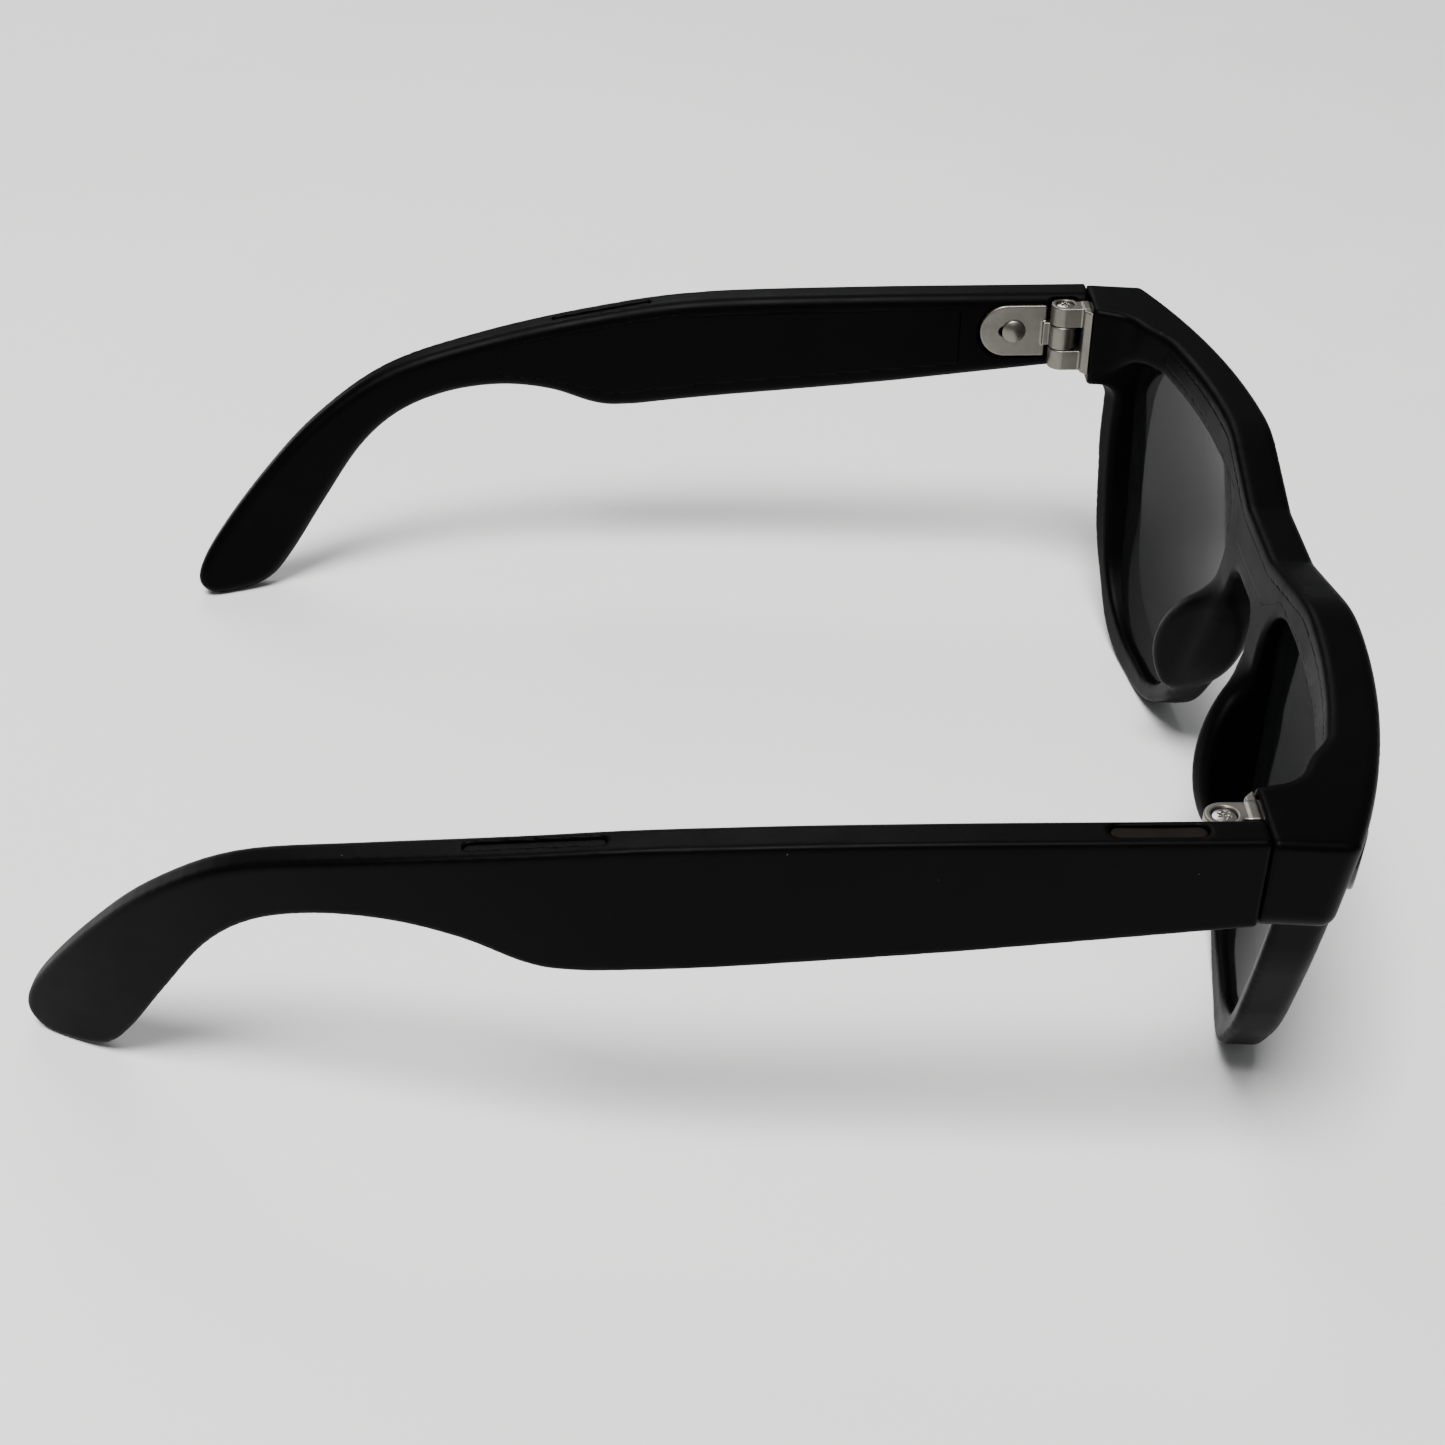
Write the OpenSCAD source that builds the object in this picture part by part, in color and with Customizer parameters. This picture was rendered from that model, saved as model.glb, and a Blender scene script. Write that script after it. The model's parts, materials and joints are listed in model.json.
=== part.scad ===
// Smart glasses: a moulded front with two lenses, two hinged arms that hold the electronics,
// a capture button on the right arm and a power switch on the left arm.
// +X is the wearer's left, -Y is the way the wearer looks, +Z is up. Lengths are in millimetres.

/* [Front] */
// Half of the front's width, at the end pieces
half_width = 72.5; // [71:0.5:74]
// Height of the brow above the table
brow_z = 53.0; // [52.8:0.1:53.4]
// Depth of the moulded front from its face to its back
front_depth = 6.2; // [5.8:0.1:6.6]
// Half of the bridge and brow that is flat before the front wraps back
flat_half = 22; // [20:1:24]
// Radius of the wrap towards each side
wrap_radius = 120; // [116:1:124]
// Lean of the front's face
face_tilt = 4.0; // [3.5:0.1:4.5]
// Lean of the front's back
back_tilt = 3.2; // [3:0.1:3.5]

/* [Lenses] */
// Thickness of each lens
lens_thickness = 2.0; // [1.8:0.1:2.2]
// Depth of the groove that holds the lens
groove_depth = 0.7; // [0.5:0.1:0.8]

/* [Arms] */
// Thickness of an arm at the hinge
arm_thickness = 5.0; // [4.8:0.1:5.2]
// Downward slope of the arms when the glasses stand on a table
arm_slope = 3.65; // [3.4:0.05:3.9]
// Distance along the arm at which it starts to curve inwards
bend_start = 55; // [51:1:59]
// Radius of the arm's outer face where it curves inwards
outer_bend_r = 221.7; // [218:0.1:226]
// Radius of the arm's inner face where it curves inwards
inner_bend_r = 231.2; // [228:0.1:236]
// Wall of the hollow part of an arm
arm_wall = 1.1; // [1:0.1:1.2]
// Thickness of the cover on the arm's inner side
cover_thickness = 1.0; // [0.8:0.1:1.1]

/* [Hinges] */
// Distance of each hinge axis from the middle plane
hinge_x = 66.3; // [66.2:0.05:66.4]
// Distance of each hinge axis behind the seam
hinge_y = 4.0; // [3.9:0.1:4.2]
// Outer radius of the knuckles
knuckle_r = 2.2; // [2:0.1:2.2]
// Radius of the hinge screw's shank
screw_r = 0.7; // [0.6:0.05:0.75]

/* [Controls] */
// Length of the capture button
button_length = 10.4; // [10:0.1:10.8]
// Width of the capture button
button_width = 2.0; // [1.8:0.1:2]
// Travel of the power switch
switch_travel = 1.5; // [1:0.1:1.5]

/* [Hidden] */

// Seam between the arms and the front, measured from the middle of the whole object
seam_y = -61.315;
// Face of the bridge, in front of the seam
face_y = -20.5;
// Small gap between pieces that only lie beside each other
gap = 0.1;
fine = 96;
round_steps = 7;
spline_steps = 4;

// ---- Outlines ----

// Height of the bridge's underside
bridge_z = 40.5;
// Half of the front's outline: sideways, height, corner radius
front_half = [
    [7, 49.3, 6], [24, brow_z, 40], [half_width, brow_z, 1.5], [half_width, 41.5, 2.5],
    [66.8, 39.2, 5], [65.2, 30.0, 40], [60.0, 14.5, 30], [48.7, 0, 15], [30.8, 0, 22],
    [19.4, 8.4, 18], [12.0, 19.5, 25], [8.2, 30.0, 12], [5.5, bridge_z, 3]
];
// Lens opening: sideways, height, corner radius, then the way each corner moves when it grows
lens_corners = [
    [11.0, 47.0, 8, -1, 1], [63.2, 47.5, 8.5, 1, 1], [61.4, 29.5, 60, 1, 0],
    [51.4, 4.2, 18, 1, -1], [27.3, 4.2, 15, -1, -1], [14.9, 20.5, 45, -1, 0]
];
// Half of the brow cover's outline, made smaller all round by inset
function cover_half(inset) = [
    [7.0, 47.6 - inset, 1.5], [24.0, 51.3 - inset, 4], [60.0 - inset, 51.7 - inset, 0.8],
    [60.0 - inset, 49.2 + inset, 0.8], [15.5, 47.6 + inset, 2], [9.0, 43.1 + inset, 1.5]
];
// Outline of an arm, seen from its side: along the arm, height from its top edge
arm_points = [
    [31, 0], [61.3, -0.5], [79.3, -2.3], [98.3, -5.3], [113.3, -9.0], [125, -16.0], [134.4, -24.7],
    [142.8, -34.4], [146, -40.2], [144.6, -43.5], [140.7, -44.2], [135.4, -43.1],
    [131.2, -38.9], [125.2, -30.6], [118.4, -21.7], [111.8, -16.5], [104, -13.9], [95.3, -13.4],
    [87.3, -14.9], [80.3, -17.8], [75.3, -18.5], [66.3, -18.0], [31, -15.2]
];
// Hollow inside an arm, made smaller all round by inset: along the arm, height, corner radius
function hollow_corners(inset) = [
    [20 + inset, -1.7 - inset, 1.2], [67, -2.4 - inset, 40], [94 - inset, -5.9 - inset, 1.5],
    [96 - inset, -11.6 + inset, 1.5], [87, -13.2 + inset, 8], [77, -16.3 + inset, 6],
    [20 + inset, -12.0 + inset, 1.2]
];

function unit(v) = v / norm(v);
function flat_point(c) = [c[0], c[1]];
function mirrored(list) = [for (i = [len(list) - 1 : -1 : 0]) [-list[i][0], list[i][1], list[i][2]]];
function both_halves(list) = concat(list, mirrored(list));
function short_way(a) = a > 180 ? a - 360 : (a < -180 ? a + 360 : a);

// Points of the arc that rounds corner b between a and c
function corner_arc(a, b, c, r) =
    let (u = unit(a - b), v = unit(c - b))
    let (half = acos(u * v) / 2)
    let (centre = b + unit(u + v) * r / sin(half))
    let (from = b + u * r / tan(half) - centre, to = b + v * r / tan(half) - centre)
    let (start = atan2(from[1], from[0]))
    let (sweep = short_way(atan2(to[1], to[0]) - start))
    [for (i = [0 : round_steps])
        centre + r * [cos(start + sweep * i / round_steps), sin(start + sweep * i / round_steps)]];

// Closed outline with every corner rounded to its own radius
function rounded(corners) =
    let (n = len(corners))
    [for (i = [0 : n - 1]) each corner_arc(
        flat_point(corners[(i + n - 1) % n]), flat_point(corners[i]),
        flat_point(corners[(i + 1) % n]), corners[i][2])];

// One point of a smooth curve through b and c
function curve_point(a, b, c, d, t) =
    0.5 * (2 * b + (c - a) * t + (2 * a - 5 * b + 4 * c - d) * t * t
        + (3 * b - a - 3 * c + d) * t * t * t);
function smooth(points) =
    [for (i = [0 : len(points) - 4]) for (s = [0 : spline_steps - 1])
        curve_point(points[i], points[i + 1], points[i + 2], points[i + 3], s / spline_steps)];

function lens_outline(grow) = rounded(
    [for (c = lens_corners) [c[0] + grow * c[3], c[1] + grow * c[4], c[2] + grow]]);

arm_outline = concat(
    [[0, -11.8], [0, 0]],
    smooth(concat([[0, 0]], arm_points, [[0, -11.8]])),
    [arm_points[len(arm_points) - 1]]);
// Height of the arm's top edge at the seam, so that the tip rests on the table
arm_z = max([for (p = arm_outline) p[0] * sin(arm_slope) - p[1] * cos(arm_slope)]);
inner_x = half_width - arm_thickness;
bend_side = half_width - outer_bend_r;

// ---- Frames of reference ----

// The glasses' own frame, with the seam at y = 0
module glasses() translate([0, seam_y, 0]) children();
// The left arm's frame: y runs along the arm, z = 0 is its top edge
module arm() glasses() translate([0, 0, arm_z]) rotate([-arm_slope, 0, 0]) children();
module other_side() mirror([1, 0, 0]) children();
// A place on the left arm, turned with its inward curve; x = 0 is the outer face
module on_arm(along) {
    turn = asin((along - bend_start) / outer_bend_r);
    translate([bend_side, bend_start, 0]) rotate([0, 0, turn]) translate([outer_bend_r, 0, 0]) children();
}
// A place on the front's face above the left end piece; z points out of the face
ring_x = 66.8;
ring_z = 47.1;
ring_turn = asin((ring_x - flat_half) / wrap_radius);
ring_y = face_y + wrap_radius * (1 - cos(ring_turn)) + (brow_z - ring_z) * tan(face_tilt);
module at_ring() glasses() translate([ring_x, ring_y, ring_z]) rotate([0, 0, ring_turn]) rotate([90, 0, 0]) children();

module block(from, to) translate(from) cube(to - from);
// Draws an outline given as sideways and height, and runs it through the front's depth
module through_front(outline) translate([0, 30, 0]) rotate([90, 0, 0]) linear_extrude(80) polygon(outline);
// Draws an outline given as along the arm and height, and runs it through the arm's thickness
module through_arm(outline) translate([40, 0, 0]) rotate([90, 0, 90]) linear_extrude(40) polygon(outline);
// Upright slot with round ends, long in y
module slot_up(length, width, height) {
    reach = (length - width) / 2;
    block([-width / 2, -reach, 0], [width / 2, reach, height]);
    for (side = [-1, 1]) translate([0, side * reach, 0]) cylinder(r = width / 2, h = height, $fn = 32);
}

// ---- Front ----

// Everything behind the front's wrapped face, moved back by depth and leaning by tilt
module behind_face(depth, tilt) {
    radius = wrap_radius - depth;
    translate([0, 0, brow_z]) rotate([tilt, 0, 0]) translate([0, face_y + depth, -80]) {
        block([-flat_half, 0, 0], [flat_half, 60, 120]);
        for (side = [-1, 1]) translate([side * flat_half, radius, 0]) cylinder(r = radius, h = 120, $fn = fine);
    }
}

// Deep corner block that carries the hinge, left side, seen from above
module end_block() {
    outline = rounded([
        [54, -8.9, 6], [60.3, -5.5, 6], [62.2, 0, 2], [64.0, 5, 1], [74, 5, 1], [74, -18, 1], [54, -18, 1]
    ]);
    translate([0, 0, 40.0]) linear_extrude(14) polygon(outline);
}

// Leaf-shaped nose rest, left side
module nose_rest() {
    half_height = 12.5;
    half_wide = 6.0;
    r = (half_height * half_height + half_wide * half_wide) / (2 * half_wide);
    translate([13.3, -13.4, 24.0]) rotate([21, -17, -26]) intersection() {
        translate([-1.6, r - half_wide, 0]) rotate([0, 90, 0]) cylinder(r = r, h = 3.6, $fn = fine);
        translate([-1.6, half_wide - r, 0]) rotate([0, 90, 0]) cylinder(r = r, h = 3.6, $fn = fine);
    }
}

// Foot of the hinge's front leaf, let into the end piece: from and to, grown all round
foot_from = [63.6, -1.2, -11.3];
foot_to = [67.1, 0.2, -1.0];
module leaf_foot(grow) arm() block(foot_from - grow * [1, 1, 1], foot_to + grow * [1, 1, 1]);

module front_frame() color([0.07, 0.07, 0.08]) difference() {
    union() {
        glasses() difference() {
            intersection() {
                through_front(rounded(both_halves(front_half)));
                behind_face(0, face_tilt);
            }
            difference() {
                behind_face(front_depth, back_tilt);
                end_block();
                other_side() end_block();
            }
        }
        glasses() nose_rest();
        glasses() other_side() nose_rest();
    }
    for (side = [0, 1]) mirror([side, 0, 0]) {
        arm() block([50, 0, -30], [80, 20, 10]);
        glasses() through_front(lens_outline(0));
        glasses() intersection() {
            through_front(lens_outline(groove_depth));
            difference() {
                behind_face(1.55, face_tilt);
                behind_face(1.65 + lens_thickness, face_tilt);
            }
        }
        leaf_foot(gap);
        at_ring() translate([0, 0, -6.2]) cylinder(r = 2.5, h = 8, $fn = fine);
        at_ring() translate([0, 0, -1.2]) cylinder(r = 3.55, h = 4, $fn = fine);
        glasses() flex_duct();
        contact_place(1) translate([0, 0, -2]) cylinder(r = contact_r + 0.05, h = 3.5, $fn = fine);
    }
    microphone_port();
    glasses() intersection() {
        through_front(rounded(both_halves(cover_half(0))));
        behind_face(front_depth - 1.0, back_tilt);
    }
    glasses() intersection() {
        flex_strip(gap);
        behind_face(front_depth - 1.7, back_tilt);
    }
}

// Duct that takes the flex from the brow into the end piece
module flex_duct() translate([58.6, -7.7, 49.9]) rotate([-90, 0, -38]) cylinder(r = 0.8, h = 5, $fn = 32);

module flex_strip(grow) through_front(rounded(both_halves([
    [7.6, 47.0 + grow, 1], [24.0, 50.75 + grow, 2], [58.0 + grow, 51.1 + grow, 0.5],
    [58.0 + grow, 49.7 - grow, 0.5], [16.0, 48.1 - grow, 1], [8.4, 45.7 - grow, 1]
])));

module front_flex() color([0.75, 0.45, 0.12]) glasses() intersection() {
    flex_strip(0);
    behind_face(front_depth - 1.6, back_tilt);
    difference() {
        block([-half_width, face_y, 0], [half_width, 0, brow_z]);
        behind_face(front_depth - 1.35, back_tilt);
    }
}

module brow_cover() color([0.08, 0.08, 0.09]) glasses() intersection() {
    through_front(rounded(both_halves(cover_half(gap))));
    difference() {
        behind_face(front_depth - 0.98, back_tilt);
        behind_face(front_depth, back_tilt);
    }
}

back_y = face_y + front_depth;
// Charging contacts on the bridge's underside; z points up into the bridge
contact_x = 2.0;
contact_r = 0.8;
contact_y = back_y - 2.3;
module contact_place(side) glasses() translate([side * contact_x, contact_y, bridge_z]) children();
module charging_contacts() color([0.85, 0.68, 0.3]) for (side = [-1, 1])
    contact_place(side) translate([0, 0, 0.1]) cylinder(r = contact_r, h = 1.3, $fn = fine);

// Microphone between the flex and the brow cover, with a port down to the bridge's underside
module nose_microphone() color([0.7, 0.7, 0.72]) glasses()
    block([-1.3, back_y - 0.92, 45.8], [1.3, back_y - 0.68, 47.0]);
module microphone_port() glasses() translate([0, back_y - 0.9, bridge_z - 2]) cylinder(r = 0.35, h = 7.5, $fn = 32);

module lens() glasses() intersection() {
    through_front(lens_outline(groove_depth - gap));
    difference() {
        behind_face(1.6, face_tilt);
        behind_face(1.6 + lens_thickness, face_tilt);
    }
}
module left_lens() color([0.2, 0.21, 0.24]) lens();
module right_lens() color([0.2, 0.21, 0.24]) other_side() lens();

module ring_bezel() at_ring() difference() {
    translate([0, 0, -1.15]) cylinder(r = 3.5, h = 1.65, $fn = fine);
    translate([0, 0, -2]) cylinder(r = 2.5, h = 4, $fn = fine);
    translate([0, 0, 0.1]) cylinder(r1 = 2.5, r2 = 3.1, h = 0.6, $fn = fine);
}
module ring_window() at_ring() translate([0, 0, -0.5]) cylinder(r = 2.45, h = 0.8, $fn = fine);

module camera_bezel() color([0.05, 0.05, 0.05]) ring_bezel();
module led_bezel() color([0.05, 0.05, 0.05]) other_side() ring_bezel();
module camera_window() color([0.1, 0.1, 0.13]) ring_window();
module led_window() color([0.5, 0.5, 0.5]) other_side() ring_window();

module camera_module() color([0.15, 0.15, 0.17]) at_ring() {
    translate([0, 0, -2.4]) cylinder(r = 1.6, h = 1.7, $fn = fine);
    translate([0, 0, -6.1]) cylinder(r = 2.4, h = 3.7, $fn = fine);
}
module capture_led() color([0.9, 0.9, 0.85]) other_side() at_ring() {
    translate([0, 0, -2.4]) cylinder(r = 2.3, h = 0.8, $fn = fine);
    block([-1.0, -0.8, -1.7], [1.0, 0.8, -1.0]);
}

// ---- Hinges ----

hinge_top = -0.9;
hinge_low = -11.4;
upper_split = -4.1;
lower_split = -8.1;
module hinge_axis() arm() translate([hinge_x, hinge_y, 0]) children();
module knuckle(low, high) translate([0, 0, low]) cylinder(r = knuckle_r, h = high - low, $fn = fine);

// Plate against the end piece's back, seen from above, with its inner end drawn out
front_plate = [[61.9, 0.02, 0.2], [67.2, 0.02, 0.2], [67.2, 1.3, 0.2], [63.3, 1.3, 0.8]];
module hinge_front_leaf() difference() {
    union() {
        leaf_foot(0);
        arm() translate([0, 0, hinge_low]) linear_extrude(hinge_top - hinge_low) polygon(rounded(front_plate));
        for (span = [[upper_split, hinge_top], [hinge_low, lower_split]]) {
            arm() block([64.1, 0.7, span[0]], [67.2, hinge_y, span[1]]);
            hinge_axis() knuckle(span[0], span[1]);
        }
    }
    hinge_axis() translate([0, 0, -20]) cylinder(r = screw_r + 0.03, h = 30, $fn = fine);
    hinge_axis() translate([0, 0, hinge_top - 0.85]) cylinder(r = 1.45, h = 2, $fn = fine);
}
module left_hinge_front_leaf() color([0.72, 0.71, 0.69]) hinge_front_leaf();
module right_hinge_front_leaf() color([0.72, 0.71, 0.69]) other_side() hinge_front_leaf();

module hinge_screw() hinge_axis() difference() {
    union() {
        translate([0, 0, hinge_low + 0.3]) cylinder(r = screw_r, h = hinge_top - hinge_low - 1.1, $fn = fine);
        translate([0, 0, hinge_top - 0.82]) cylinder(r = 1.4, h = 0.76, $fn = fine);
    }
    translate([0, 0, hinge_top - 0.5]) cylinder(r = 0.75, h = 1, $fn = 6);
}
module left_hinge_screw() color([0.78, 0.77, 0.75]) hinge_screw();
module right_hinge_screw() color([0.78, 0.77, 0.75]) other_side() hinge_screw();

plate_start = 6.6;
plate_end = 17.2;
plate_low = -10.2;
plate_high = -1.6;
plate_mid = (plate_low + plate_high) / 2;
plate_half = (plate_high - plate_low) / 2;
// Flat plate with a round rear end, between two distances from the middle plane
module leaf_plate(from_x, to_x, grow) {
    block([from_x, plate_start - grow, plate_low - grow], [to_x, plate_end - plate_half, plate_high + grow]);
    translate([from_x, plate_end - plate_half, plate_mid]) rotate([0, 90, 0])
        cylinder(r = plate_half + grow, h = to_x - from_x, $fn = fine);
}
module hinge_temple_leaf() difference() {
    union() {
        arm() leaf_plate(67.1, 68.3, 0);
        arm() block([66.4, hinge_y, lower_split + gap], [68.3, plate_start + 0.1, upper_split - gap]);
        hinge_axis() knuckle(lower_split + gap, upper_split - gap);
    }
    hinge_axis() translate([0, 0, -20]) cylinder(r = screw_r + 0.05, h = 30, $fn = fine);
}
knob_y = 11.8;
module left_hinge_temple_leaf() color([0.72, 0.71, 0.69]) difference() {
    hinge_temple_leaf();
    arm() for (slide = [0, switch_travel]) translate([66, knob_y + slide, plate_mid])
        rotate([0, 90, 0]) cylinder(r = 0.85, h = 4, $fn = 48);
    arm() block([66, knob_y, plate_mid - 0.85], [70, knob_y + switch_travel, plate_mid + 0.85]);
}
module right_hinge_temple_leaf() color([0.72, 0.71, 0.69]) other_side() hinge_temple_leaf();

// ---- Arms ----

// The arm's thickness as seen from above, trimmed from its outer and inner faces
module arm_slab(outer_trim, inner_trim) {
    translate([0, 0, -60]) difference() {
        union() {
            block([40, -1, 0], [half_width - outer_trim, bend_start, 80]);
            intersection() {
                translate([bend_side, bend_start, 0]) cylinder(r = outer_bend_r - outer_trim, h = 80, $fn = fine);
                block([20, bend_start, 0], [90, 160, 80]);
            }
        }
        block([30, -2, -1], [inner_x + inner_trim, bend_start, 81]);
        intersection() {
            translate([inner_x - inner_bend_r, bend_start, -1])
                cylinder(r = inner_bend_r + inner_trim, h = 82, $fn = fine);
            block([10, bend_start, -1], [90, 161, 81]);
        }
    }
}

module speaker_slot() on_arm(78.5) translate([-2.4, 0, -8]) slot_up(16, 1.4, 12);
module lower_port() on_arm(76) translate([-2.4, 0, -22]) slot_up(8, 1.4, 10);

module temple_shell() arm() difference() {
    intersection() {
        through_arm(arm_outline);
        arm_slab(0, 0);
        block([20, 0.15, -60], [90, 160, 10]);
    }
    intersection() {
        through_arm(rounded(hollow_corners(0)));
        arm_slab(arm_wall, -10);
    }
    speaker_slot();
    lower_port();
    translate([hinge_x, hinge_y, -20]) cylinder(r = knuckle_r + 0.3, h = 19.4, $fn = fine);
    block([60, hinge_y, lower_split], [68.4, plate_start, upper_split]);
    leaf_plate(60, 68.4, gap);
    block([69.6, 17, -7], [70.6, 21, -5]);
}
module left_temple_shell() color([0.07, 0.07, 0.08]) difference() {
    temple_shell();
    arm() block([68, 9.2, plate_mid - 2.3], [70.9, 14.8, plate_mid + 2.3]);
    arm() block([69.6, 14, -7], [70.6, 18, -5]);
}
button_x = half_width - 2.4;
button_y = 11.7;
module right_temple_shell() color([0.07, 0.07, 0.08]) other_side() difference() {
    temple_shell();
    arm() translate([button_x, button_y, -3.3]) slot_up(button_length + 0.2, button_width + 0.2, 5);
    arm() block([69.6, 14, -5.5], [70.6, 18, -3.2]);
}

module temple_cover() arm() intersection() {
    through_arm(rounded(hollow_corners(gap)));
    difference() {
        arm_slab(0, 0);
        arm_slab(0, cover_thickness);
    }
}
module left_temple_cover() color([0.08, 0.08, 0.09]) temple_cover();
module right_temple_cover() color([0.08, 0.08, 0.09]) other_side() temple_cover();

// ---- Inside the arms ----

module speaker() arm() on_arm(78) {
    difference() {
        block([-3.5, -10.2, -12.9], [-1.4, 7.6, -5.3]);
        translate([-3.6, -1.3, -9.1]) rotate([0, 90, 0]) cylinder(r = 3.2, h = 0.5, $fn = fine);
    }
}
module left_speaker() color([0.55, 0.55, 0.57]) speaker();
module right_speaker() color([0.55, 0.55, 0.57]) other_side() speaker();

// Mesh just below the arm's top edge, which slopes down here
module speaker_mesh() arm() on_arm(78.5) translate([-2.4, 0, -3.15]) rotate([-7.4, 0, 0]) slot_up(15.8, 1.2, 0.5);
module left_speaker_mesh() color([0.2, 0.2, 0.2]) speaker_mesh();
module right_speaker_mesh() color([0.2, 0.2, 0.2]) other_side() speaker_mesh();

module lower_mesh() arm() on_arm(76) translate([-2.4, 0, -17.3]) slot_up(7.8, 1.2, 0.5);
module left_lower_mesh() color([0.2, 0.2, 0.2]) lower_mesh();
module right_lower_mesh() color([0.2, 0.2, 0.2]) other_side() lower_mesh();

module microphone() arm() block([69.0, 21.0, -11.2], [70.2, 24.0, -9.2]);
module left_microphone() color([0.7, 0.7, 0.72]) microphone();
module right_microphone() color([0.7, 0.7, 0.72]) other_side() microphone();

module logic_board() color([0.05, 0.3, 0.15]) other_side() arm() {
    block([69.0, 25, -12.1], [69.6, 63, -3.0]);
    block([69.0, 21, -8.6], [69.6, 25.1, -3.0]);
}
module board_shield() color([0.75, 0.75, 0.77]) other_side() arm() difference() {
    block([69.65, 29, -12.0], [70.6, 58, -4.0]);
    block([69.0, 29.3, -11.7], [70.4, 57.7, -4.3]);
}
module touch_sensor() color([0.75, 0.45, 0.12]) other_side() arm() block([70.8, 25, -12.4], [71.0, 62, -3.2]);

module battery() color([0.35, 0.36, 0.4]) arm() difference() {
    block([68.7, 27, -12.2], [70.85, 64, -3.0]);
    for (z = [-12.2, -3.0]) translate([69.8, 63, z]) rotate([0, 90, 90]) cylinder(r = 0.5, h = 3, $fn = 48);
}
module power_board() color([0.05, 0.3, 0.15]) arm() {
    block([70.3, 20.8, -11.4], [70.9, 26.4, -2.8]);
    block([69.7, 21.4, -8.4], [70.35, 25.8, -4.2]);
}

// ---- Controls ----

module capture_button() color([0.16, 0.13, 0.11]) other_side() arm()
    translate([button_x, button_y, -1.7]) slot_up(button_length, button_width, 1.35);
module button_switch() color([0.75, 0.75, 0.77]) other_side() arm() translate([button_x, button_y, 0]) {
    block([-0.9, -3, -3.2], [0.9, 3, -2.45]);
    translate([0, 0, -2.5]) cylinder(r = 0.7, h = 0.35, $fn = 48);
}
module power_switch_knob() color([0.76, 0.75, 0.73]) arm() translate([0, knob_y, plate_mid]) {
    intersection() {
        translate([69.2, 0, 0]) sphere(r = 3.0, $fn = fine);
        translate([66.0, 0, 0]) rotate([0, 90, 0]) cylinder(r = 2.0, h = 1.05, $fn = fine);
    }
    translate([66.9, 0, 0]) rotate([0, 90, 0]) cylinder(r = 0.7, h = 1.9, $fn = fine);
}
module power_switch_body() color([0.2, 0.2, 0.22]) arm()
    block([69.0, 9.5, plate_mid - 2], [70.7, 14.5, plate_mid + 2]);

front_frame();
brow_cover();
right_lens();
left_lens();
camera_bezel();
camera_window();
camera_module();
led_bezel();
led_window();
capture_led();
front_flex();
charging_contacts();
nose_microphone();
right_hinge_front_leaf();
left_hinge_front_leaf();
right_hinge_screw();
left_hinge_screw();
right_temple_shell();
right_temple_cover();
right_hinge_temple_leaf();
touch_sensor();
logic_board();
board_shield();
right_speaker();
right_speaker_mesh();
right_lower_mesh();
right_microphone();
button_switch();
capture_button();
left_temple_shell();
left_temple_cover();
left_hinge_temple_leaf();
battery();
power_board();
left_speaker();
left_speaker_mesh();
left_lower_mesh();
left_microphone();
power_switch_body();
power_switch_knob();
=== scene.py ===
"""Looks for the smart glasses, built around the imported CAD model.

The moulded and metal pieces are rebuilt as smooth meshes: each one is a distance field made from the
same driving dimensions as the CAD part, with its edges rounded, and its surface is drawn out of the
field as quads. Lengths are in millimetres until a piece is made. +X is the wearer's left, -Y the way
the wearer looks, +Z up.
"""

import itertools
import json
import math

import bpy
import numpy as np
from mathutils import Matrix, Vector


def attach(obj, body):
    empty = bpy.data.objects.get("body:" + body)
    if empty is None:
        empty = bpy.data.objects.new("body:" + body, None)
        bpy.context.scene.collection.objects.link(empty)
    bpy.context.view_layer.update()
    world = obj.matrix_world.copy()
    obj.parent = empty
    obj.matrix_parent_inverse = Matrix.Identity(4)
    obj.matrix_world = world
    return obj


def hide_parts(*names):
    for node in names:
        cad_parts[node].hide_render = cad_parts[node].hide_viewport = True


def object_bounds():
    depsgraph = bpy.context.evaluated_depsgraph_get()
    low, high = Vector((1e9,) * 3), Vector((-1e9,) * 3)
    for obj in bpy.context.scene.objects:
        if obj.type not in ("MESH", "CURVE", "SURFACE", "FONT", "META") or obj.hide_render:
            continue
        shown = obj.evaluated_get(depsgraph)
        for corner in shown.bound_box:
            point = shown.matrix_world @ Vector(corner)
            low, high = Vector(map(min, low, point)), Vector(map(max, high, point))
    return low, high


MM = 0.001

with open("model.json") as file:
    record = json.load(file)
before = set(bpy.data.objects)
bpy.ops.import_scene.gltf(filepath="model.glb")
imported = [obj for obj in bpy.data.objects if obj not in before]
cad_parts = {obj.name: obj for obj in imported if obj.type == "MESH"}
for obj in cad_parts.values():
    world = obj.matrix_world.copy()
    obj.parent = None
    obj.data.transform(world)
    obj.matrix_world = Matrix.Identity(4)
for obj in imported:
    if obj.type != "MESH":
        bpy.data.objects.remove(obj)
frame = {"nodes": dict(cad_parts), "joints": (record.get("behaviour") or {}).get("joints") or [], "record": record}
nodes = frame["nodes"]
cad_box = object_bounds()

# ---- Driving dimensions, the same as the CAD part's ----

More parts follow.
